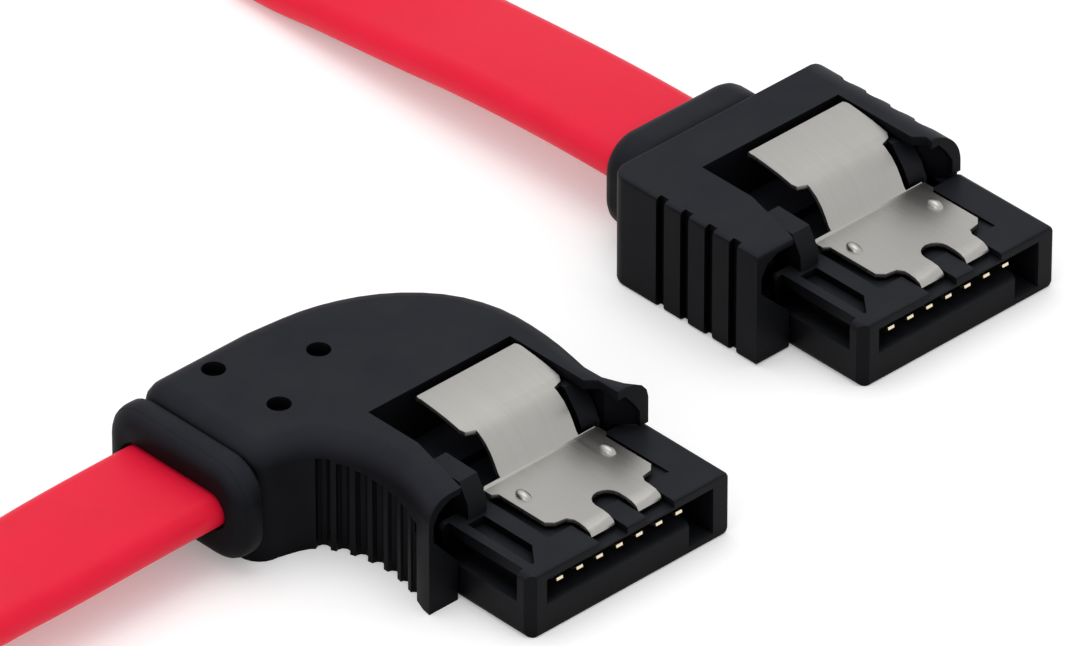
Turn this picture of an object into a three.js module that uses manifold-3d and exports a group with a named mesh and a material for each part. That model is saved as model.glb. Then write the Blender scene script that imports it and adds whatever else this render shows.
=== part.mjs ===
// A flat serial ATA data cable: a straight plug, a right-angled plug and one flat cord.
// Each plug is a moulded receptacle with seven spring contacts, a soft overmould around it
// and a stamped steel latch that rocks on two prongs at the front of the receptacle.
//
// Each plug is drawn in its own frame: x across the receptacle from its left face, y from
// its mating face towards the back, z up from its underside. Millimetres.

import * as THREE from 'three';
import { mergeVertices } from 'three/addons/utils/BufferGeometryUtils.js';
import Module from 'manifold-3d';

const wasm = await Module();
wasm.setup();

// Sizes of the receptacle

const noseWidth = 12.75;
const noseHeight = 3.5;
const noseLength = 6.35;
const noseEdge = 0.15;
const slotSideWall = 1.2;
const slotRoof = 0.63;
const slotHeight = 1.15;
const slotDepth = 4.6;
const slotLeadIn = 0.13;
const keyWidth = 1.3;
const keyDrop = 1.2;
const heelInset = 1.3;
const heelFloor = 0.65;
const heelTop = 2.9;
const heelEnd = 9.3;
const sideSlotFloor = 1.85;
const sideSlotDepth = 0.95;
const cornerRailLeft = 0.42;
const cornerRailHeight = 0.62;
const frontColumn = 0.9;
const frontChamfer = 0.45;
const topGrooveWidth = 1.05;
const topGrooveDepth = 0.43;
const cheekWidth = 1.15;
const cheekTop = 5.6;
const cheekBack = 8.5;

// Sizes of the contacts and of the wires behind them

const contactCount = 7;
const contactPitch = 1.27;
const firstContact = 2.07;
const contactWidth = 0.4;
const contactThickness = 0.15;
const contactLevel = 2.45;
const contactTail = 10.2;
const contactTip = 0.2;
const contactClearance = 0.09;
const coreDiameter = 0.8;
const drainDiameter = 0.4;
const wireLevel = 2.3;
const wireGap = 0.2;
const wirePitch = 1.0;

// Sizes of the latch

const latchCentre = 6.82;
const latchThickness = 0.22;
const latchLevel = 3.66;
const tabWidth = 6.4;
const riserWidth = 5.0;
const plateWidth = 6.84;
const earWidth = 7.4;
const prongGap = 1.5;
const prongWidth = 1.5;
const prongLength = 2.3;
const earStart = 5.85;
const creaseAt = 6.55;
const tabStart = 8.4;
const tabEnd = 11.75;
const tabTop = 6.14;
const dimpleSpacing = 5.4;
const dimpleAt = 4.8;
const latchClearance = 0.15;
const latchTravel = 0.62;

// Sizes of the overmoulds

const bodyHeight = 6.27;
const bodyLeft = -2.3;
const bodyRight = 12.65;
const shoulderRadius = 2.1;
const bodyEdge = 0.22;
const pocketLeft = 1.1;
const pocketEnd = 12.15;
const pocketFloor = 3.3;
const pocketFlare = 1.0;
const pocketWaist = 8.75;
const rimThickness = 0.5;
const straightFront = 4.85;
const straightFrontRight = 6.25;
const straightEnd = 15.05;
const angledFront = 4.75;
const angledFrontRight = 5.35;
const angledLeft = -1.95;
const angledArmEnd = -5.2;
const angledRear = 21.5;
const angledEdge = 1.2;
const angledCorner = 1.27;
const gripPitch = 1.66;
const gripWidth = 0.55;
const gripDepth = 0.36;
const scallopDepth = 0.82;
const pinDiameter = 1.2;
const fit = 0.12;

// Sizes of the cord and of the collars that it leaves through

const cordWidth = 6.9;
const cordThickness = 1.8;
const boreGap = 0.2;
const collarWidth = 9.3;
const collarHeight = 5.3;
const straightCollar = 2.7;
const angledCollar = 1.2;

// Where the two plugs lie on the floor, so that the origin is in the middle under them

const straightAt = [9.525, -6.875];
const angledAt = [-15.875, -10.875];

// The middle of the cord and how far its right edge is turned up, from the straight plug
// to the angled one. It leaves both plugs flat and stands on its edge round the bend.
// The plugs' cord exits are placed from the two ends of this list.

const cordRoute = [
  [13.875, 7.425, 3.1, 0],
  [13.875, 10.9, 3.1, 0],
  [13.875, 14, 3.08, 0],
  [13.875, 18, 2.95, 0],
  [13.875, 22.5, 2.65, 0],
  [13.875, 27, 2.25, 2],
  [13.875, 32, 1.97, 7],
  [13.875, 37, 1.79, 17],
  [13.875, 42, 2.26, 31],
  [13.875, 48, 2.85, 48],
  [13.875, 54.5, 3.3, 67],
  [13.875, 61.4, 3.49, 84],
  [13.875, 71, 3.5, 89],
  [13.875, 81.1, 3.5, 90],
  [11.18, 94.66, 3.5, 90],
  [3.5, 106.16, 3.5, 90],
  [-8, 113.84, 3.5, 90],
  [-21.56, 116.54, 3.5, 90],
  [-35.12, 113.84, 3.5, 90],
  [-46.62, 106.16, 3.5, 90],
  [-54.3, 94.66, 3.5, 90],
  [-57, 81.1, 3.5, 90],
  [-57, 69, 3.5, 90],
  [-57, 57, 3.5, 90],
  [-57, 46, 3.5, 90],
  [-57, 35.5, 3.5, 88],
  [-57, 25.4, 3.46, 81],
  [-55.55, 18.15, 3.36, 71],
  [-51.44, 11.99, 3.08, 55],
  [-45.27, 7.87, 2.6, 34],
  [-38, 6.425, 2.5, 12],
  [-34, 6.425, 2.75, 4],
  [-30.35, 6.425, 2.95, 0],
  [-26.35, 6.425, 3.07, 0],
  [-22.35, 6.425, 3.1, 0],
  [-19.525, 6.425, 3.1, 0],
];
const cordLevel = cordRoute[0][2];
const straightCordX = cordRoute[0][0] - straightAt[0];
const straightCordEnd = cordRoute[0][1] - straightAt[1];
const angledCordY = cordRoute.at(-1)[1] - angledAt[1];
const angledCordEnd = cordRoute.at(-1)[0] - angledAt[0];

// Colours

const shade = (color, roughness, metalness = 0) =>
  new THREE.MeshStandardMaterial({ color, roughness, metalness });
const paint = {
  overmould: shade(0x202126, 0.55),
  receptacle: shade(0x1a1b20, 0.45),
  steel: shade(0xa8a6a2, 0.32, 1),
  gold: shade(0xd9b56a, 0.3, 1),
  core: shade(0xe8e6e0, 0.5),
  drain: shade(0xc4c4c6, 0.35, 1),
  cord: shade(0xee2c4c, 0.45),
};

// Solids and how they are joined and cut

function solid(geometry) {
  geometry.deleteAttribute('normal');
  geometry.deleteAttribute('uv');
  const merged = mergeVertices(geometry, 1e-5);
  return new wasm.Manifold(new wasm.Mesh({
    numProp: 3,
    vertProperties: new Float32Array(merged.attributes.position.array),
    triVerts: new Uint32Array(merged.index.array),
  }));
}

function geometryOf(manifold) {
  const mesh = manifold.getMesh();
  const geometry = new THREE.BufferGeometry();
  geometry.setAttribute('position', new THREE.BufferAttribute(mesh.vertProperties, 3));
  geometry.setIndex(new THREE.BufferAttribute(mesh.triVerts, 1));
  return geometry;
}

const join = (first, ...rest) => rest.reduce((sum, next) => sum.add(next), first);
const cut = (first, ...rest) => rest.reduce((left, tool) => left.subtract(tool), first);

function polygon(points) {
  return new THREE.Shape(points.map(([a, b]) => new THREE.Vector2(a, b)));
}

// A shape pushed along a length, its end edges rounded off by `edge`
function pushed(shape, length, edge = 0, steps = 2) {
  return new THREE.ExtrudeGeometry(shape, {
    depth: length - 2 * edge,
    bevelEnabled: edge > 0,
    bevelThickness: edge,
    bevelSize: edge,
    bevelOffset: -edge,
    bevelSegments: steps,
    curveSegments: 7,
  }).translate(0, 0, edge);
}

const turnedTo = (geometry, ax, ay, az, x, y, z) =>
  geometry.applyMatrix4(new THREE.Matrix4().makeBasis(ax, ay, az).setPosition(x, y, z));
const X = new THREE.Vector3(1, 0, 0);
const Y = new THREE.Vector3(0, 1, 0);
const Z = new THREE.Vector3(0, 0, 1);
const forward = new THREE.Vector3(0, -1, 0);

// An outline seen from above, from z0 up to z1
const fromAbove = (shape, z0, z1, edge = 0, steps = 2) =>
  solid(turnedTo(pushed(shape, z1 - z0, edge, steps), X, Y, Z, 0, 0, z0));
// An outline seen from the side, drawn as (y, z), from x0 to x1
const fromSide = (shape, x0, x1, edge = 0) =>
  solid(turnedTo(pushed(shape, x1 - x0, edge), Y, Z, X, x0, 0, 0));
// An outline seen from the front, drawn as (x, z), from y0 back to y1
const fromFront = (shape, y0, y1, edge = 0, steps = 2) =>
  solid(turnedTo(pushed(shape, y1 - y0, edge, steps), X, Z, forward, 0, y1, 0));

function box(x0, x1, y0, y1, z0, z1) {
  const geometry = new THREE.BoxGeometry(x1 - x0, y1 - y0, z1 - z0);
  return solid(geometry.translate((x0 + x1) / 2, (y0 + y1) / 2, (z0 + z1) / 2));
}

function rounded(x0, x1, z0, z1, radius) {
  const shape = new THREE.Shape();
  shape.moveTo(x0 + radius, z0);
  shape.lineTo(x1 - radius, z0);
  shape.absarc(x1 - radius, z0 + radius, radius, -Math.PI / 2, 0);
  shape.lineTo(x1, z1 - radius);
  shape.absarc(x1 - radius, z1 - radius, radius, 0, Math.PI / 2);
  shape.lineTo(x0 + radius, z1);
  shape.absarc(x0 + radius, z1 - radius, radius, Math.PI / 2, Math.PI);
  shape.lineTo(x0, z0 + radius);
  shape.absarc(x0 + radius, z0 + radius, radius, Math.PI, 1.5 * Math.PI);
  return shape;
}

// A strip of sheet metal seen on its edge, of one thickness along a bent middle line
function strip(middle, thickness) {
  const points = middle.map(([a, b]) => new THREE.Vector2(a, b));
  const side = (sign) => points.map((point, i) => {
    const before = points[Math.max(i - 1, 0)];
    const after = points[Math.min(i + 1, points.length - 1)];
    const along = after.clone().sub(before).normalize();
    return new THREE.Vector2(
      point.x - sign * along.y * thickness / 2,
      point.y + sign * along.x * thickness / 2,
    );
  });
  return new THREE.Shape([...side(1), ...side(-1).reverse()]);
}

function smooth(points, count) {
  const curve = new THREE.SplineCurve(points.map(([a, b]) => new THREE.Vector2(a, b)));
  return curve.getSpacedPoints(count).map((point) => [point.x, point.y]);
}

// The receptacle: a nose with a key-shaped slot, and a heel that the contacts pass through

const cheekRight = latchCentre + tabWidth / 2 + 0.9;
const slotRight = noseWidth - slotSideWall + 0.05;
const slotCeiling = noseHeight - slotRoof;
const slotFloor = slotCeiling - slotHeight;
const contactX = (i) => firstContact + i * contactPitch;

function keySlot() {
  const outline = polygon([
    [slotSideWall, slotFloor],
    [slotRight - keyWidth, slotFloor],
    [slotRight - keyWidth, slotFloor - keyDrop],
    [slotRight, slotFloor - keyDrop],
    [slotRight, slotCeiling],
    [slotSideWall, slotCeiling],
  ]);
  const mouth = new THREE.ExtrudeGeometry(outline, {
    depth: 0.01,
    bevelThickness: 2 * slotLeadIn,
    bevelSize: slotLeadIn,
    bevelSegments: 1,
  });
  return join(
    fromFront(outline, -1, slotDepth),
    solid(turnedTo(mouth, X, Z, forward, 0, 0.01, 0)),
  );
}

// The open corner at the left of the nose: a slot along its side that is open above, then a
// rail, then a shallow groove on top. The upright front corner is cut off.
function openCorner() {
  const railFloor = noseHeight - cornerRailHeight;
  const side = fromFront(polygon([
    [-1, sideSlotFloor],
    [sideSlotDepth, sideSlotFloor],
    [sideSlotDepth, railFloor],
    [cornerRailLeft, railFloor],
    [cornerRailLeft, noseHeight + 1],
    [-1, noseHeight + 1],
  ]), frontColumn, noseLength - 0.4);
  const inner = sideSlotDepth + topGrooveWidth;
  const groove = fromAbove(polygon([
    [sideSlotDepth, frontColumn],
    [sideSlotDepth + 0.15, frontColumn],
    [inner, frontColumn + 1.1],
    [inner, straightFront + 0.4],
    [sideSlotDepth, straightFront + 0.4],
  ]), noseHeight - topGrooveDepth, noseHeight + 1);
  const corner = fromAbove(polygon([
    [-1, -1],
    [frontChamfer + 1, -1],
    [-1, frontChamfer + 1],
  ]), -1, noseHeight + 1);
  return join(side, groove, corner);
}

// Room under the latch: two notches at the front edge for its prongs, and a slope that the
// plate sinks into when the tab is pressed
function latchSeat() {
  const half = earWidth / 2 + latchClearance;
  const underPlate = latchLevel - latchThickness / 2;
  const slope = fromSide(polygon([
    [1.9, underPlate - latchClearance],
    [noseLength + 0.5, underPlate - latchClearance / 2 - latchTravel * 0.62],
    [noseLength + 0.5, noseHeight + 1],
    [1.9, noseHeight + 1],
  ]), latchCentre - half, latchCentre + half);
  const notches = [-1, 1].map((side) => {
    const middle = latchCentre + side * (prongGap + prongWidth) / 2;
    const reach = prongWidth / 2 + latchClearance;
    return box(middle - reach, middle + reach, -1, 2, noseHeight - 0.4, noseHeight + 1);
  });
  return join(slope, ...notches);
}

// Upright cheeks of the receptacle on both sides of the latch. The right one slopes down
// to the plate and fills the hollow of the overmould's shoulder.
function cheeks() {
  const left = fromSide(polygon([
    [5.4, heelTop - 0.5],
    [cheekBack - 0.3, heelTop - 0.5],
    [cheekBack - 0.3, cheekTop - 0.2],
    [6.1, cheekTop - 0.25],
    [5.5, 4.3],
  ]), pocketLeft + fit, pocketLeft + fit + cheekWidth);
  const right = fromSide(polygon([
    [6.8, heelTop - 0.5],
    [cheekBack, heelTop - 0.5],
    [cheekBack, cheekTop],
    [cheekBack - 0.45, cheekTop],
    [7.2, 4.55],
    [6.8, 3.75],
  ]), cheekRight - cheekWidth, cheekRight);
  return join(left, right);
}

function receptacle() {
  const nose = fromFront(rounded(0, noseWidth, 0, noseHeight, 0.35), 0, noseLength, noseEdge);
  const heel = box(heelInset, noseWidth - heelInset, noseLength - 0.5, heelEnd,
    heelFloor, heelTop);
  const passages = Array.from({ length: contactCount }, (_, i) => {
    const reach = contactWidth / 2 + contactClearance;
    const rise = contactThickness / 2 + contactClearance;
    return box(contactX(i) - reach, contactX(i) + reach, slotDepth - 0.5, heelEnd + 1,
      contactLevel - rise, contactLevel + rise);
  });
  return cut(join(nose, heel, cheeks()), keySlot(), openCorner(), latchSeat(), ...passages);
}

// A contact: a spring finger that hangs under the roof of the slot and bows down into it
function contact(i) {
  const rest = contactLevel;
  const middle = [
    [contactTail, rest],
    [slotDepth, rest],
    ...smooth([
      [slotDepth - 0.4, rest],
      [slotDepth - 1.4, rest - 0.12],
      [slotDepth - 2.6, rest - 0.38],
      [contactTip + 0.7, rest - 0.1],
      [contactTip, rest + 0.08],
    ], 10),
  ];
  return fromSide(strip(middle, contactThickness),
    contactX(i) - contactWidth / 2, contactX(i) + contactWidth / 2);
}

// The latch: a press tab, a curved riser, a plate with two dimples, and two prongs that
// hook down into the front edge of the receptacle

const tabRise = tabTop - latchLevel;
const tabRun = tabEnd - creaseAt;
const latchFold = [
  [0.78, latchLevel - 0.36],
  [0.9, latchLevel - 0.17],
  [1.15, latchLevel - 0.05],
  [1.55, latchLevel],
  ...[
    [-0.03, 0],
    [0.015, 0.02],
    [0.055, 0.11],
    [0.1, 0.29],
    [0.15, 0.46],
    [0.215, 0.62],
    [0.3, 0.75],
    [0.42, 0.85],
    [0.58, 0.92],
    [0.76, 0.97],
    [0.9, 1],
    [0.965, 0.99],
    [1, 0.91],
  ].map(([run, rise]) => [creaseAt + run * tabRun, latchLevel + rise * tabRise]),
];

function latchOutline() {
  const prong = prongGap / 2 + prongWidth;
  const half = [
    [prongGap / 2, 0],
    [prong, 0],
    [prong, prongLength - 0.45],
    [prong + 0.2, prongLength - 0.1],
    [plateWidth / 2 - 0.35, prongLength],
    [plateWidth / 2, prongLength + 0.35],
    [plateWidth / 2, earStart - 0.1],
    [earWidth / 2, earStart + 0.1],
    [earWidth / 2, creaseAt - 0.1],
    [earWidth / 2 - 0.15, creaseAt + 0.05],
    [riserWidth / 2, creaseAt + 0.05],
    [riserWidth / 2, tabStart - 0.15],
    [tabWidth / 2 - 0.15, tabStart],
    [tabWidth / 2, tabStart + 0.25],
    [tabWidth / 2, tabEnd - 0.3],
    [tabWidth / 2 - 0.3, tabEnd + 0.4],
  ];
  const notch = Array.from({ length: 9 }, (_, i) => {
    const turn = Math.PI * i / 8;
    return [
      -Math.cos(turn) * prongGap / 2,
      prongLength - 0.3 + Math.sin(turn) * prongGap / 2,
    ];
  });
  return polygon([
    ...half.map(([a, b]) => [latchCentre + a, b]),
    ...half.toReversed().map(([a, b]) => [latchCentre - a, b]),
    ...notch.map(([a, b]) => [latchCentre + a, b]),
  ]);
}

function latch() {
  const sheet = fromSide(strip(latchFold, latchThickness),
    latchCentre - earWidth, latchCentre + earWidth);
  const dimples = [-1, 1].map((side) => {
    const bump = new THREE.SphereGeometry(1, 12, 8).scale(0.3, 0.5, 0.26);
    return solid(bump.rotateX(0.2)
      .translate(latchCentre + side * dimpleSpacing / 2, dimpleAt, latchLevel + latchThickness / 2));
  });
  const blank = fromAbove(latchOutline(), latchLevel - 2, latchLevel + 4);
  return join(sheet.intersect(blank), ...dimples);
}

// What is hollow at the front of either overmould: the latch pocket, the seat of the
// receptacle's heel, and a recess on each side of the nose

function frontHollows(left, front, frontRight) {
  const right = latchCentre + tabWidth / 2 + latchClearance;
  const ear = latchCentre + earWidth / 2 + latchClearance;
  const pocket = fromAbove(polygon([
    [pocketLeft - pocketFlare, front - 1],
    [ear, front - 1],
    [ear, creaseAt + latchClearance],
    [right, creaseAt + 0.6],
    [right, pocketEnd],
    [pocketLeft, pocketEnd],
    [pocketLeft, pocketWaist],
    [pocketLeft - pocketFlare, front],
  ]), pocketFloor, bodyHeight + 1);
  const nose = box(-fit, noseWidth + fit, front - 1, noseLength + fit, -1, noseHeight + fit);
  const heel = box(heelInset - fit, noseWidth - heelInset + fit, noseLength, heelEnd + fit,
    heelFloor - fit, pocketFloor + 0.1);
  const leftRecess = fromFront(polygon([
    [left + 0.3, 4.9],
    [left + 0.3, 4.0],
    [-0.05, 2.1],
    [pocketLeft + fit, 2.1],
    [pocketLeft + fit, bodyHeight - 0.35],
    [left + 1.35, bodyHeight - 0.35],
    [left + 0.65, 5.55],
  ]), front - 1, front + 2.5).intersect(fromAbove(polygon([
    [left + 0.2, front - 2],
    [left + 0.2, front + 0.3],
    [left + 0.85, front + 2.0],
    [pocketLeft + 1, front + 2.4],
    [pocketLeft + 1, front - 2],
  ]), 0, bodyHeight));
  const ceiling = bodyHeight - rimThickness;
  const hollow = cheekRight + fit;
  const rightRecess = fromAbove(polygon([
    [right - 0.1, front - 1],
    [bodyRight - 0.55, front - 1],
    [bodyRight - 0.55, frontRight + 0.25],
    [hollow, frontRight + 1.3],
    [hollow, cheekBack + fit],
    [right - 0.1, cheekBack + fit],
  ]), pocketFloor, ceiling).intersect(fromFront(polygon([
    [0, 0],
    [bodyRight, 0],
    [bodyRight, 3.6],
    [bodyRight - 0.95, ceiling - 0.65],
    [bodyRight - 1.5, ceiling],
    [0, ceiling],
  ]), 0, cheekBack + 1));
  return [pocket, nose, heel, leftRecess, rightRecess];
}

// The straight overmould seen from the front: its right shoulder is rounded over the nose
function shoulder(left, back) {
  const low = 0.6;
  const shape = new THREE.Shape();
  shape.moveTo(left, 0);
  shape.lineTo(bodyRight - low, 0);
  shape.absarc(bodyRight - low, low, low, -Math.PI / 2, 0);
  shape.lineTo(bodyRight, bodyHeight - shoulderRadius);
  shape.absarc(bodyRight - shoulderRadius, bodyHeight - shoulderRadius, shoulderRadius,
    0, Math.PI / 2);
  shape.lineTo(left, bodyHeight);
  return fromFront(shape, 0, back);
}

// The collar at the cord's exit: a thick rounded bead that touches the body in a crease
function collar(reach) {
  const bead = (width, height, radius) => rounded(
    -width / 2, width / 2, cordLevel - height / 2, cordLevel + height / 2, radius);
  return join(
    fromFront(bead(collarWidth - 1, collarHeight - 1, 1.4), -1.5, reach / 2),
    fromFront(bead(collarWidth, collarHeight, 1.9), 0.12, reach, 0.8, 4),
  );
}

function cordBore(depth, reach) {
  const width = cordWidth + 2 * boreGap;
  const height = cordThickness + 2 * boreGap;
  return fromFront(rounded(-width / 2, width / 2, cordLevel - height / 2,
    cordLevel + height / 2, height / 2 - 0.01), -depth, reach + 1);
}

function placed(manifold, x, y, quarterTurns) {
  const geometry = geometryOf(manifold);
  geometry.rotateZ(quarterTurns * Math.PI / 2).translate(x, y, 0);
  return solid(geometry);
}

// The wire chamber's ceiling under the latch pocket, and behind it
const chamberFloor = 1.2;
const chamberLow = pocketFloor - 0.4;
const chamberHigh = cordLevel + cordThickness / 2 + 0.1;
const chamberStep = pocketEnd + 0.4;
const chamberRight = contactX(contactCount - 1) + 0.8;
const straightBore = straightEnd - straightCordEnd + boreGap;
const angledBore = angledCordEnd - angledArmEnd + boreGap;

function straightOvermould() {
  const round = 1.0;
  const outline = new THREE.Shape();
  outline.moveTo(bodyLeft, straightFront);
  outline.lineTo(pocketLeft, straightFront);
  outline.lineTo(pocketLeft, straightFrontRight);
  outline.lineTo(bodyRight, straightFrontRight);
  outline.lineTo(bodyRight, straightEnd - round);
  outline.absarc(bodyRight - round, straightEnd - round, round, 0, Math.PI / 2);
  outline.lineTo(bodyLeft + round, straightEnd);
  outline.absarc(bodyLeft + round, straightEnd - round, round, Math.PI / 2, Math.PI);
  const block = fromAbove(outline, 0, bodyHeight, bodyEdge)
    .intersect(shoulder(bodyLeft - 1, straightEnd + 1));
  const grooves = Array.from({ length: 4 }, (_, i) => {
    const y = straightFront + (i + 1) * gripPitch;
    return box(bodyLeft - 1, bodyLeft + gripDepth, y - gripWidth / 2, y + gripWidth / 2,
      -1, bodyHeight + 1);
  });
  const scallops = Array.from({ length: 4 }, (_, i) => {
    const radius = gripPitch * 0.58;
    const valley = new THREE.CylinderGeometry(radius, radius, 3 * bodyHeight, 20)
      .rotateX(Math.PI / 2)
      .rotateY(-0.22);
    const x = bodyRight - scallopDepth + radius;
    return solid(valley.translate(x, straightFrontRight + (i + 1.1) * gripPitch, bodyHeight - 1.5));
  });
  const chamber = [
    box(heelInset - fit, chamberRight, heelEnd - 0.2, chamberStep + 0.2, chamberFloor, chamberLow),
    box(0.6, chamberRight, chamberStep, straightEnd - straightBore + 0.1,
      chamberFloor, chamberHigh),
  ];
  const exit = placed(collar(straightCollar), straightCordX, straightEnd, 0);
  const bore = placed(cordBore(straightBore, straightCollar), straightCordX, straightEnd, 0);
  return cut(join(block, exit), ...frontHollows(bodyLeft, straightFront, straightFrontRight),
    ...grooves, ...scallops, ...chamber, bore);
}

// The finger side of the angled plug, from its front corner round to its arm
const fingerSide = [
  [angledLeft, angledFront],
  [angledLeft + 0.12, angledFront + 0.6],
  [-1.35, 6.6],
  [-1.0, 8.3],
  [-1.15, 10.2],
  [-1.75, 11.7],
  [-2.5, 12.5],
  [angledArmEnd + angledCorner, 12.95],
];

const wireRadii = (i) => ({
  x: contactX(i) - 1.0,
  y: angledCordY + (i - (contactCount - 1) / 2) * wirePitch - chamberStep,
});

// Its outer side, from the right of the mouth round the back to the arm
const outerSide = [
  [bodyRight, angledFrontRight],
  [11.75, 6.8],
  [11.65, 8.5],
  [11.95, 9.8],
  [12.2, 12.4],
  [12.0, 14.9],
  [10.9, 17.4],
  [8.6, 19.6],
  [5.4, 21.0],
  [1.6, angledRear],
];

// The body's outline. It runs on past the mouth, where the front is cut off square.
function angledOutline() {
  const corner = (y, start) => Array.from({ length: 7 }, (_, i) => {
    const turn = start + i * Math.PI / 12;
    return [
      angledArmEnd + angledCorner + angledCorner * Math.cos(turn),
      y + angledCorner * Math.sin(turn),
    ];
  });
  return polygon([
    [angledLeft, angledFront - 4],
    [bodyRight, angledFront - 4],
    ...smooth(outerSide, 22),
    ...corner(angledRear - angledCorner, Math.PI / 2),
    ...corner(fingerSide.at(-1)[1] + angledCorner, Math.PI).slice(0, 6),
    ...smooth(fingerSide.toReversed(), 18),
  ]);
}

function angledOvermould() {
  const behindMouth = fromAbove(polygon([
    [angledArmEnd - 1, angledFront],
    [pocketLeft, angledFront],
    [pocketLeft, angledFrontRight],
    [bodyRight + 1, angledFrontRight],
    [bodyRight + 1, angledRear + 1],
    [angledArmEnd - 1, angledRear + 1],
  ]), 0, bodyHeight + 1);
  const block = fromAbove(angledOutline(), -2, bodyHeight, angledEdge, 4)
    .intersect(behindMouth);
  const wall = new THREE.SplineCurve(fingerSide.map(([x, y]) => new THREE.Vector2(x, y)));
  const ribs = Array.from({ length: 7 }, (_, i) => {
    const at = wall.getPointAt(0.17 + 0.1 * i);
    const radius = gripDepth;
    const groove = new THREE.CylinderGeometry(radius, radius, bodyHeight, 10);
    return solid(groove.rotateX(Math.PI / 2)
      .translate(at.x, at.y, bodyHeight / 2 - 1.9 + 0.13 * i));
  });
  const pins = [[3.45, 2.4], [8.1, 0.2], [3.75, -1.8]].map(([x, y]) => {
    const hole = new THREE.CylinderGeometry(pinDiameter / 2, pinDiameter / 2, 1.4, 20);
    return solid(hole.rotateX(Math.PI / 2)
      .translate(angledArmEnd + x, angledCordY + y, bodyHeight));
  });
  const bend = new THREE.Shape();
  const outer = wireRadii(contactCount - 1);
  bend.moveTo(angledArmEnd + angledBore - 0.1, chamberStep + 1.2);
  bend.lineTo(1.4, chamberStep + 1.2);
  bend.lineTo(1.4, chamberStep - 0.1);
  bend.lineTo(1.0 + outer.x + 0.7, chamberStep - 0.1);
  bend.absellipse(1.0, chamberStep, outer.x + 0.7, outer.y + 0.6, 0, Math.PI / 2);
  bend.lineTo(angledArmEnd + angledBore - 0.1, chamberStep + outer.y + 0.6);
  const chamber = [
    box(heelInset - fit, chamberRight, heelEnd - 0.2, chamberStep + 0.1, chamberFloor, chamberLow),
    fromAbove(bend, chamberFloor, chamberHigh),
  ];
  const exit = placed(collar(angledCollar), angledArmEnd, angledCordY, 1);
  const bore = placed(cordBore(angledBore, angledCollar), angledArmEnd, angledCordY, 1);
  return cut(join(block, exit), ...frontHollows(angledLeft, angledFront, angledFrontRight),
    ...ribs, ...pins, ...chamber, bore);
}

// The wires between the contact tails and the end of the cord: a bare drain wire at each
// ground contact, and an insulated core at each signal contact

const isDrain = (i) => i % 3 === 0;

function wire(i, points) {
  const radius = (isDrain(i) ? drainDiameter : coreDiameter) / 2;
  const section = new THREE.Shape().absarc(0, 0, radius, 0, 2 * Math.PI);
  const path = new THREE.CatmullRomCurve3(points.map((p) => new THREE.Vector3(...p)));
  const geometry = new THREE.ExtrudeGeometry(section, {
    extrudePath: path, steps: 2 * points.length, curveSegments: 4,
  });
  return solid(geometry);
}

const wireStart = contactTail + wireGap;
const wireHigh = cordLevel - 0.1;

function straightWire(i) {
  const end = straightCordX + (i - (contactCount - 1) / 2) * wirePitch;
  const stop = straightEnd - straightBore - 0.1;
  return wire(i, [
    [contactX(i), wireStart, wireLevel],
    [contactX(i) * 0.75 + end * 0.25, wireStart + 1.2, wireLevel],
    [contactX(i) * 0.4 + end * 0.6, chamberStep + 0.3, wireLevel + 0.25],
    [end, stop, wireHigh],
  ]);
}

function angledWire(i) {
  const radii = wireRadii(i);
  const stop = angledArmEnd + angledBore + 0.1;
  const turn = [0, 0.25, 0.5, 0.75, 1].map((share) => [
    1.0 + radii.x * Math.cos(share * Math.PI / 2),
    chamberStep + radii.y * Math.sin(share * Math.PI / 2),
    wireLevel + (wireHigh - wireLevel) * share,
  ]);
  return wire(i, [
    [contactX(i), wireStart, wireLevel],
    ...turn,
    [stop, chamberStep + radii.y, wireHigh],
  ]);
}

// The cord: one flat section along the route, turned about its middle line on the way

class TurnedRoute extends THREE.CatmullRomCurve3 {
  constructor(route) {
    super(route.map(([x, y, z]) => new THREE.Vector3(x, y, z)), false, 'centripetal');
    this.turns = route.map((point) => THREE.MathUtils.degToRad(point[3]));
  }

  computeFrenetFrames(segments) {
    const frames = { tangents: [], normals: [], binormals: [] };
    for (let i = 0; i <= segments; i += 1) {
      const at = this.getUtoTmapping(i / segments) * (this.turns.length - 1);
      const low = Math.min(Math.floor(at), this.turns.length - 2);
      const turn = THREE.MathUtils.lerp(this.turns[low], this.turns[low + 1], at - low);
      const tangent = this.getTangentAt(i / segments);
      const side = new THREE.Vector3().crossVectors(tangent, Z).normalize();
      const up = new THREE.Vector3().crossVectors(side, tangent);
      const across = side.multiplyScalar(Math.cos(turn)).addScaledVector(up, Math.sin(turn));
      frames.tangents.push(tangent);
      frames.normals.push(across);
      frames.binormals.push(new THREE.Vector3().crossVectors(tangent, across));
    }
    return frames;
  }
}

function cord() {
  const section = new THREE.Shape();
  const flat = (cordWidth - cordThickness) / 2;
  section.absarc(flat, 0, cordThickness / 2, -Math.PI / 2, Math.PI / 2);
  section.absarc(-flat, 0, cordThickness / 2, Math.PI / 2, 1.5 * Math.PI);
  return new THREE.ExtrudeGeometry(section, {
    extrudePath: new TurnedRoute(cordRoute), steps: 66, curveSegments: 5,
  });
}

// The whole cable

const part = new THREE.Group();

function add(group, name, geometry, material) {
  const mesh = new THREE.Mesh(geometry, material);
  mesh.name = name;
  group.add(mesh);
}

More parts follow.
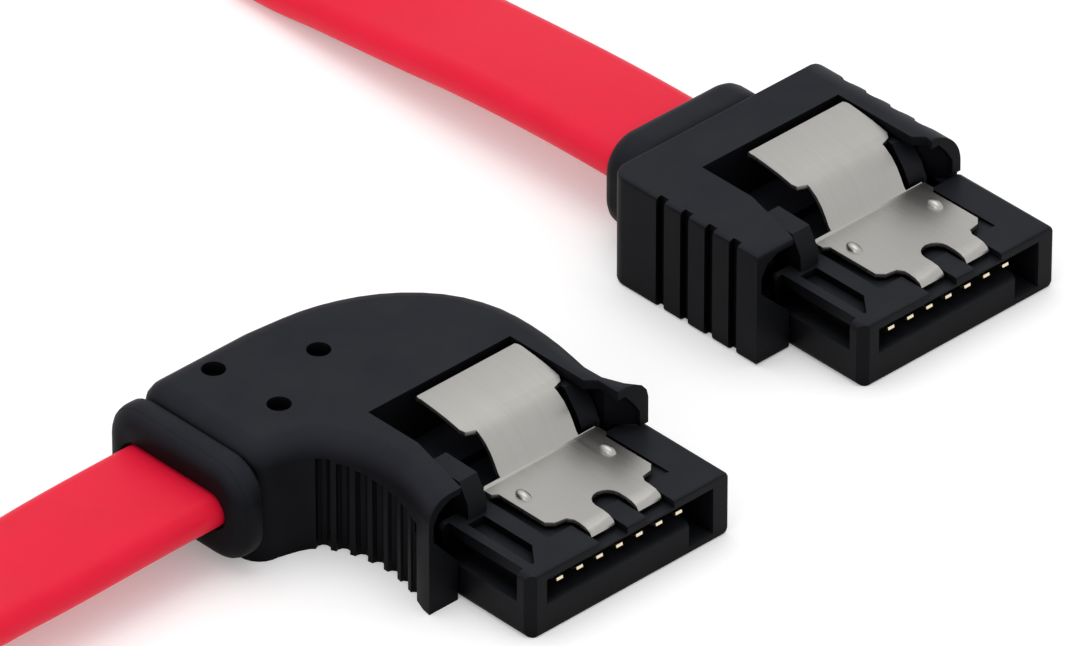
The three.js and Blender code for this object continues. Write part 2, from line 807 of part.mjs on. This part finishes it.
function plug(name, overmould, wireOf, x, y) {
  const group = new THREE.Group();
  group.position.set(x, y, 0);
  add(group, `${name}_overmould`, geometryOf(overmould), paint.overmould);
  add(group, `${name}_receptacle`, geometryOf(receptacle()), paint.receptacle);
  add(group, `${name}_latch`, geometryOf(latch()), paint.steel);
  for (let i = 0; i < contactCount; i += 1) {
    add(group, `${name}_contact_${i + 1}`, geometryOf(contact(i)), paint.gold);
    const kind = isDrain(i) ? 'drain' : 'core';
    add(group, `${name}_${kind}_${i + 1}`, geometryOf(wireOf(i)),
      isDrain(i) ? paint.drain : paint.core);
  }
  part.add(group);
}

plug('straight', straightOvermould(), straightWire, ...straightAt);
plug('angled', angledOvermould(), angledWire, ...angledAt);
add(part, 'flat_cord', cord(), paint.cord);

export default part;
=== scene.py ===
"""A flat data cable with a straight plug and an angled one, lying on a white ground."""

import math

import bmesh
import bpy
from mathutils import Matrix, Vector


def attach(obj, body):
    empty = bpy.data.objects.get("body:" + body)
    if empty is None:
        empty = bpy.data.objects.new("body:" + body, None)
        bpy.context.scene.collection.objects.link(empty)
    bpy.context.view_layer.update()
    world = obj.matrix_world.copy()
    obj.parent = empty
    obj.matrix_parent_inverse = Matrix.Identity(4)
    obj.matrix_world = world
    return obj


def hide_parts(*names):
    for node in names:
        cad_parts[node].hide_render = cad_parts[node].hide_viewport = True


MM = 0.001

# Camera

CAMERA_AZIMUTH = -43.375
CAMERA_ELEVATION = 34.664
CAMERA_DISTANCE = 700 * MM
CAMERA_LENS = 493.1
CAMERA_SENSOR = 36
CAMERA_TARGET = (-0.71 * MM, 4.52 * MM, 3.0 * MM)

# Cord: its section in millimetres, how finely its round edges and its route are divided, and the
# middle of its route with how many degrees its right edge is turned up

CORD_WIDTH = 6.9
CORD_THICKNESS = 1.8
EDGE_STEPS = 12
ROUTE_STEPS = 10
CORD_ROUTE = [
    (13.875, 7.425, 3.1, 0),
    (13.875, 10.9, 3.1, 0),
    (13.875, 14, 3.08, 0),
    (13.875, 18, 2.95, 0),
    (13.875, 22.5, 2.65, 0),
    (13.875, 27, 2.25, 2),
    (13.875, 32, 1.97, 7),
    (13.875, 37, 1.79, 17),
    (13.875, 42, 2.26, 31),
    (13.875, 48, 2.85, 48),
    (13.875, 54.5, 3.3, 67),
    (13.875, 61.4, 3.49, 84),
    (13.875, 71, 3.5, 89),
    (13.875, 81.1, 3.5, 90),
    (11.18, 94.66, 3.5, 90),
    (3.5, 106.16, 3.5, 90),
    (-8, 113.84, 3.5, 90),
    (-21.56, 116.54, 3.5, 90),
    (-35.12, 113.84, 3.5, 90),
    (-46.62, 106.16, 3.5, 90),
    (-54.3, 94.66, 3.5, 90),
    (-57, 81.1, 3.5, 90),
    (-57, 69, 3.5, 90),
    (-57, 57, 3.5, 90),
    (-57, 46, 3.5, 90),
    (-57, 35.5, 3.5, 88),
    (-57, 25.4, 3.46, 81),
    (-55.55, 18.15, 3.36, 71),
    (-51.44, 11.99, 3.08, 55),
    (-45.27, 7.87, 2.6, 34),
    (-38, 6.425, 2.5, 12),
    (-34, 6.425, 2.75, 4),
    (-30.35, 6.425, 2.95, 0),
    (-26.35, 6.425, 3.07, 0),
    (-22.35, 6.425, 3.1, 0),
    (-19.525, 6.425, 3.1, 0),
]

# Collar of the angled plug: the middle of the arm's end face, the collar's outline, how far it
# stands out, how it rounds over to the cord, and how deep its back sits in the arm

COLLAR_AT = (-21.075, 6.425, 3.1)
COLLAR_WIDTH = 9.5
COLLAR_HEIGHT = 5.5
COLLAR_CORNER = 2.0
COLLAR_REACH = 1.42
COLLAR_FLAT = 0.5
COLLAR_ROUND = 1.0
COLLAR_LIP = 0.15
COLLAR_SUNK = 0.1
COLLAR_STEPS = 8
LIP_STEPS = 3
BORE_GAP = 0.1
BORE_END_FLAT = 0.01

# The slot of each kind of solid, by a word in its name, and how wide its edges are rounded

SLOT_WORDS = {
    "overmould": "overmould",
    "receptacle": "receptacle",
    "latch": "latch_steel",
    "contact": "contact_plating",
    "core": "core_insulation",
    "drain": "drain_wire",
    "cord": "cord_jacket",
}
SLOT_EDGES = {
    "overmould": 0.07 * MM,
    "receptacle": 0.05 * MM,
    "latch_steel": 0.04 * MM,
}
WELD_GAP = 0.0005 * MM
FLAT_ANGLE = 0.5
EDGE_ANGLE = 32
FACE_WEIGHT = 80

# Darkest and lightest colour of each surface

OVERMOULD_COLORS = ((0.0155, 0.0165, 0.0215), (0.0180, 0.0190, 0.0240))
RECEPTACLE_COLORS = ((0.0140, 0.0150, 0.0190), (0.0165, 0.0175, 0.0215))
STEEL_COLORS = ((0.385, 0.375, 0.355), (0.405, 0.395, 0.375))
JACKET_COLORS = ((0.79, 0.008, 0.036), (0.84, 0.011, 0.046))
CONTACT_COLOR = (0.80, 0.68, 0.50)
CORE_COLOR = (0.80, 0.79, 0.76)
DRAIN_COLOR = (0.75, 0.75, 0.76)

# Grain of the surfaces, as the scale of a noise in metres, and how far a pocket's shade reaches

MOULD_PATCHES = 420
MOULD_GRAIN = 9000
STEEL_GRAIN = 6000
JACKET_CLOUDS = 260
JACKET_GRAIN = 3000
PLAIN_GRAIN = 1500
POCKET_REACH = 1.4 * MM

# Levels of the white ground and of the light

FLOOR_SIZE = 6
FLOOR_COLOR = 0.93
FLOOR_LIFT = 0.22
WORLD_LIGHT = 0.75
WORLD_SEEN = 1.0

# Square lamps: the name, the place, the length of a side and the power

LAMPS = (
    ("top_softbox", (0.05, 0.12, 0.9), 0.7, 2.2),
    ("left_softbox", (-0.6, -0.1, 0.35), 0.3, 0.5),
)


def make_camera():
    data = bpy.data.cameras.new("camera")
    camera = bpy.data.objects.new("camera", data)
    bpy.context.scene.collection.objects.link(camera)
    azimuth = math.radians(CAMERA_AZIMUTH)
    elevation = math.radians(CAMERA_ELEVATION)
    back = Vector((
        math.sin(azimuth) * math.cos(elevation),
        -math.cos(azimuth) * math.cos(elevation),
        math.sin(elevation),
    ))
    camera.location = Vector(CAMERA_TARGET) + back * CAMERA_DISTANCE
    camera.rotation_mode = "QUATERNION"
    camera.rotation_quaternion = (-back).to_track_quat("-Z", "Y")
    data.lens = CAMERA_LENS
    data.sensor_width = CAMERA_SENSOR
    data.clip_start = 0.05
    data.clip_end = 5
    bpy.context.scene.camera = camera


# Materials


class Paint:
    """One procedural material: a principled surface and the nodes that vary it."""

    def __init__(self, name, roughness, metallic=0.0):
        self.material = bpy.data.materials.new(name)
        self.material.use_nodes = True
        self.tree = self.material.node_tree
        self.surface = self.tree.nodes["Principled BSDF"]
        self.fix("Roughness", roughness)
        self.fix("Metallic", metallic)

    def node(self, kind, **settings):
        made = self.tree.nodes.new(kind)
        for name, value in settings.items():
            if name in made.inputs:
                made.inputs[name].default_value = value
            else:
                setattr(made, name, value)
        return made

    def link(self, source, target):
        self.tree.links.new(source, target)

    def drive(self, socket, source):
        """Lets another node set a value of the surface."""
        self.link(source, self.surface.inputs[socket])

    def fix(self, socket, value):
        """Gives the surface a value that is the same all over."""
        self.surface.inputs[socket].default_value = value

    def noise(self, scale, stretch=(1, 1, 1), detail=4):
        place = self.node("ShaderNodeTexCoord")
        sized = self.node("ShaderNodeMapping")
        sized.inputs["Scale"].default_value = stretch
        grain = self.node("ShaderNodeTexNoise", Scale=scale, Detail=detail)
        self.link(place.outputs["Object"], sized.inputs["Vector"])
        self.link(sized.outputs["Vector"], grain.inputs["Vector"])
        return grain.outputs["Fac"]

    def ramp(self, value, low, high, start=0.3, end=0.7):
        ramp = self.node("ShaderNodeValToRGB")
        ramp.color_ramp.elements[0].position = start
        ramp.color_ramp.elements[1].position = end
        ramp.color_ramp.elements[0].color = (*low, 1)
        ramp.color_ramp.elements[1].color = (*high, 1)
        self.link(value, ramp.inputs["Fac"])
        return ramp.outputs["Color"]

    def between(self, value, low, high, start=0.3, end=0.7):
        span = self.node("ShaderNodeMapRange")
        span.inputs["From Min"].default_value = start
        span.inputs["From Max"].default_value = end
        span.inputs["To Min"].default_value = low
        span.inputs["To Max"].default_value = high
        self.link(value, span.inputs["Value"])
        return span.outputs["Result"]

    def times(self, value, factor):
        product = self.node("ShaderNodeMath", operation="MULTIPLY")
        self.link(value, product.inputs[0])
        if isinstance(factor, float):
            product.inputs[1].default_value = factor
        else:
            self.link(factor, product.inputs[1])
        return product.outputs["Value"]

    def shaded(self, color, factor):
        """A colour made darker by a factor that changes over the surface, which paints shade into
        it.
        """
        product = self.node("ShaderNodeVectorMath", operation="SCALE")
        self.link(color, product.inputs[0])
        self.link(factor, product.inputs["Scale"])
        return product.outputs["Vector"]

    def hollow_shade(self, reach):
        """Painted shade for grooves and pockets: 1 on a free face, less in a groove or a pocket,
        by how open the surface lies.
        """
        around = self.node("ShaderNodeAmbientOcclusion", Distance=reach, samples=8)
        return around.outputs["AO"]

    def facing_up(self):
        """1 on a face that looks up, and 0 on an upright side; it sets the painted shade on the
        sides.
        """
        surface = self.node("ShaderNodeNewGeometry")
        parts = self.node("ShaderNodeSeparateXYZ")
        self.link(surface.outputs["Normal"], parts.inputs["Vector"])
        return parts.outputs["Z"]

    def bump(self, value, strength, depth):
        bump = self.node("ShaderNodeBump", Strength=strength, Distance=depth)
        self.link(value, bump.inputs["Height"])
        self.drive("Normal", bump.outputs["Normal"])


def moulded(name, colors, roughness, gloss):
    """Black moulded plastic with a fine spark-eroded grain and faint rubbed patches.

    Its colour carries painted shade: it is blackest in grooves and pockets, and darker on the
    upright sides.
    """
    paint = Paint(name, roughness)
    rubbed = paint.noise(MOULD_PATCHES, detail=5)
    # Painted shade: the plastic's colour is darkened in grooves and pockets by how closed in they
    # are.
    hollow_shade = paint.between(paint.hollow_shade(POCKET_REACH), 0.1, 1.0, 0.25, 0.85)
    # Painted shade: the colour is darker on upright sides than on faces that look up.
    side_shade = paint.between(paint.facing_up(), 0.3, 1.0, 0.1, 0.8)
    shade = paint.times(hollow_shade, side_shade)
    paint.drive("Base Color", paint.shaded(paint.ramp(rubbed, *colors), shade))
    paint.drive("Roughness", paint.between(rubbed, roughness + 0.05, roughness - 0.04))
    paint.fix("Specular IOR Level", gloss)
    paint.bump(paint.noise(MOULD_GRAIN, detail=3), 0.35, 0.012 * MM)
    return paint.material


def steel():
    """Stamped stainless sheet, rolled along the length of the latch."""
    paint = Paint("latch_steel", 0.3, 1.0)
    grain = paint.noise(STEEL_GRAIN, stretch=(1, 0.05, 0.05), detail=3)
    paint.drive("Base Color", paint.ramp(grain, *STEEL_COLORS))
    paint.drive("Roughness", paint.between(grain, 0.33, 0.38))
    paint.bump(grain, 0.04, 0.003 * MM)
    return paint.material


def jacket():
    """Soft red jacket, slightly clouded, with a fine grain and a little light under its skin."""
    paint = Paint("cord_jacket", 0.42)
    cloud = paint.noise(JACKET_CLOUDS, detail=3)
    paint.drive("Base Color", paint.ramp(cloud, *JACKET_COLORS))
    paint.drive("Roughness", paint.between(cloud, 0.36, 0.5))
    paint.fix("Specular IOR Level", 0.16)
    paint.fix("Subsurface Weight", 0.15)
    paint.fix("Subsurface Radius", (0.6 * MM, 0.1 * MM, 0.1 * MM))
    paint.bump(paint.noise(JACKET_GRAIN, detail=2), 0.1, 0.01 * MM)
    return paint.material


def plain(name, color, roughness, metallic=0.0):
    """A small inner part, which varies a little in colour."""
    paint = Paint(name, roughness, metallic)
    darker = tuple(0.92 * level for level in color)
    paint.drive("Base Color", paint.ramp(paint.noise(PLAIN_GRAIN), darker, color))
    return paint.material


def make_materials():
    return {
        "overmould": moulded("overmould", OVERMOULD_COLORS, 0.48, 0.05),
        "receptacle": moulded("receptacle", RECEPTACLE_COLORS, 0.40, 0.06),
        "latch_steel": steel(),
        "contact_plating": plain("contact_plating", CONTACT_COLOR, 0.3, 1.0),
        "core_insulation": plain("core_insulation", CORE_COLOR, 0.5),
        "drain_wire": plain("drain_wire", DRAIN_COLOR, 0.3, 1.0),
        "cord_jacket": jacket(),
    }


# The cord


def cord_section():
    """The outline of the cord: flat faces with half-round edges."""
    flat = (CORD_WIDTH - CORD_THICKNESS) / 2
    radius = CORD_THICKNESS / 2
    data = bpy.data.curves.new("cord_section", "CURVE")
    data.dimensions = "2D"
    line = data.splines.new("POLY")
    line.points.add(2 * EDGE_STEPS + 1)
    for side in (0, 1):
        for i in range(EDGE_STEPS + 1):
            turn = math.pi * (i / EDGE_STEPS - 0.5 + side)
            middle = flat if side == 0 else -flat
            x = middle + radius * math.cos(turn)
            y = radius * math.sin(turn)
            line.points[side * (EDGE_STEPS + 1) + i].co = (x * MM, y * MM, 0, 1)
    line.use_cyclic_u = True
    section = bpy.data.objects.new("cord_section", data)
    bpy.context.scene.collection.objects.link(section)
    section.hide_render = True
    section.hide_viewport = True
    return section


def make_cord(materials):
    data = bpy.data.curves.new("cord_jacket", "CURVE")
    data.dimensions = "3D"
    data.twist_mode = "Z_UP"
    data.resolution_u = ROUTE_STEPS
    line = data.splines.new("BEZIER")
    line.bezier_points.add(len(CORD_ROUTE) - 1)
    line.tilt_interpolation = "BSPLINE"
    for point, (x, y, z, turn) in zip(line.bezier_points, CORD_ROUTE):
        point.co = (x * MM, y * MM, z * MM)
        point.handle_left_type = "AUTO"
        point.handle_right_type = "AUTO"
        point.tilt = math.radians(-turn)
    data.bevel_mode = "OBJECT"
    data.bevel_object = cord_section()
    data.use_fill_caps = True
    cord = bpy.data.objects.new("cord_jacket", data)
    bpy.context.scene.collection.objects.link(cord)
    data.materials.append(materials["cord_jacket"])
    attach(cord, "cable")
    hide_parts("flat_cord")


# The collar of the angled plug, as a full rounded bead over the thin one of the solid


def rounded_ring(width, height, corner, steps=8):
    """Points round a rectangle with rounded corners, counted the same for every size."""
    points = []
    for quarter, (sx, sy) in enumerate(((1, 1), (-1, 1), (-1, -1), (1, -1))):
        for i in range(steps + 1):
            turn = math.pi / 2 * (quarter + i / steps)
            across = sx * (width / 2 - corner) + corner * math.cos(turn)
            up = sy * (height / 2 - corner) + corner * math.sin(turn)
            points.append((across, up))
    return points


def collar_outline(inset):
    width = COLLAR_WIDTH - 2 * inset
    height = COLLAR_HEIGHT - 2 * inset
    return rounded_ring(width, height, COLLAR_CORNER - inset)


def bore_outline(more):
    width = CORD_WIDTH + 2 * (BORE_GAP + more)
    height = CORD_THICKNESS + 2 * (BORE_GAP + more)
    return rounded_ring(width, height, height / 2 - BORE_END_FLAT)


def collar_rings():
    """How far out and which outline: up the collar's side, over the bead, and down the bore."""
    rings = [
        (-COLLAR_SUNK, collar_outline(COLLAR_SUNK)),
        (COLLAR_SUNK / 2, collar_outline(0)),
    ]
    for i in range(COLLAR_STEPS + 1):
        turn = math.pi / 2 * i / COLLAR_STEPS
        out = COLLAR_FLAT + (COLLAR_REACH - COLLAR_FLAT) * math.sin(turn)
        rings.append((out, collar_outline(COLLAR_ROUND * (1 - math.cos(turn)))))
    for i in range(LIP_STEPS + 1):
        turn = math.pi / 2 * i / LIP_STEPS
        out = COLLAR_REACH - COLLAR_LIP * (1 - math.cos(turn))
        rings.append((out, bore_outline(COLLAR_LIP * (1 - math.sin(turn)))))
    rings.append((-COLLAR_SUNK, bore_outline(0)))
    return rings


def make_collar(materials):
    mesh = bmesh.new()
    x, y, z = COLLAR_AT
    loops = [
        [mesh.verts.new(((x - out) * MM, (y + across) * MM, (z + up) * MM)) for across, up in ring]
        for out, ring in collar_rings()
    ]
    for near, far in zip(loops, loops[1:] + loops[:1]):
        for i, start in enumerate(near):
            j = (i + 1) % len(near)
            mesh.faces.new((start, near[j], far[j], far[i]))
    bmesh.ops.recalc_face_normals(mesh, faces=mesh.faces)
    for face in mesh.faces:
        face.smooth = True
    data = bpy.data.meshes.new("angled_collar")
    mesh.to_mesh(data)
    mesh.free()
    data.materials.append(materials["overmould"])
    collar = bpy.data.objects.new("angled_collar", data)
    bpy.context.scene.collection.objects.link(collar)
    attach(collar, "cable")


# The plugs: the solids keep their shape, and get rounded edges and their materials


def soften(node, width):
    """Rounds a solid's edges without changing its own mesh."""
    weld = node.modifiers.new("weld", "WELD")
    weld.merge_threshold = WELD_GAP
    flatten = node.modifiers.new("flatten", "DECIMATE")
    flatten.decimate_type = "DISSOLVE"
    flatten.angle_limit = math.radians(FLAT_ANGLE)
    edge = node.modifiers.new("edge", "BEVEL")
    edge.width = width
    edge.segments = 2
    edge.limit_method = "ANGLE"
    edge.angle_limit = math.radians(EDGE_ANGLE)
    weigh = node.modifiers.new("weigh", "WEIGHTED_NORMAL")
    weigh.keep_sharp = True
    weigh.weight = FACE_WEIGHT
    for face in node.data.polygons:
        face.use_smooth = True


def slot_of(node_name):
    return next(slot for word, slot in SLOT_WORDS.items() if word in node_name)


def dress_plugs(nodes, materials):
    for name, node in nodes.items():
        slot = slot_of(name)
        node.data.materials.clear()
        node.data.materials.append(materials[slot])
        if slot in SLOT_EDGES:
            soften(node, SLOT_EDGES[slot])


# The white ground and the light


def seen_rays(tree):
    """1 for what the camera sees, straight, mirrored or through glass, and 0 for other light."""
    path = tree.nodes.new("ShaderNodeLightPath")
    total = path.outputs["Is Camera Ray"]
    for ray in ("Is Glossy Ray", "Is Transmission Ray"):
        both = tree.nodes.new("ShaderNodeMath")
        both.operation = "MAXIMUM"
        tree.links.new(total, both.inputs[0])
        tree.links.new(path.outputs[ray], both.inputs[1])
        total = both.outputs["Value"]
    return total


def make_ground():
    bpy.ops.mesh.primitive_plane_add(size=FLOOR_SIZE)
    floor = bpy.context.object
    floor.name = "floor"
    paint = Paint("floor", 0.9)
    paint.fix("Base Color", (FLOOR_COLOR, FLOOR_COLOR, FLOOR_COLOR, 1))
    paint.fix("Specular IOR Level", 0)
    paint.fix("Emission Color", (1, 1, 1, 1))
    paint.drive("Emission Strength", paint.times(seen_rays(paint.tree), FLOOR_LIFT))
    floor.data.materials.append(paint.material)


def make_world():
    world = bpy.data.worlds.new("world")
    bpy.context.scene.world = world
    world.use_nodes = True
    tree = world.node_tree
    light = tree.nodes["Background"]
    light.inputs["Color"].default_value = (1, 1, 1, 1)
    light.inputs["Strength"].default_value = WORLD_LIGHT
    seen = tree.nodes.new("ShaderNodeBackground")
    seen.inputs["Color"].default_value = (1, 1, 1, 1)
    seen.inputs["Strength"].default_value = WORLD_SEEN
    either = tree.nodes.new("ShaderNodeMixShader")
    tree.links.new(seen_rays(tree), either.inputs["Fac"])
    tree.links.new(light.outputs["Background"], either.inputs[1])
    tree.links.new(seen.outputs["Background"], either.inputs[2])
    tree.links.new(either.outputs["Shader"], tree.nodes["World Output"].inputs["Surface"])


def add_lamp(name, place, size, power):
    data = bpy.data.lights.new(name, "AREA")
    data.shape = "SQUARE"
    data.size = size
    data.energy = power
    lamp = bpy.data.objects.new(name, data)
    bpy.context.scene.collection.objects.link(lamp)
    lamp.location = place
    lamp.rotation_mode = "QUATERNION"
    lamp.rotation_quaternion = (-Vector(place)).to_track_quat("-Z", "Y")


def make_lights():
    for lamp in LAMPS:
        add_lamp(*lamp)


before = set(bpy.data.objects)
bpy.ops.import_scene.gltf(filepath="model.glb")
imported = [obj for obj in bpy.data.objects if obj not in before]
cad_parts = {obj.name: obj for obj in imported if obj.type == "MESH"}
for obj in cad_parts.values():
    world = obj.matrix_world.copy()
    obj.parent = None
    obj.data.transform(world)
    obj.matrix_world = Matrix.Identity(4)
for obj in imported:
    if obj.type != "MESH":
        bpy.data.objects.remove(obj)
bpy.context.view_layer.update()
make_camera()
paints = make_materials()
make_cord(paints)
make_collar(paints)
dress_plugs(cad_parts, paints)
make_ground()
make_world()
make_lights()
scene = bpy.context.scene
scene.view_settings.view_transform = "Standard"
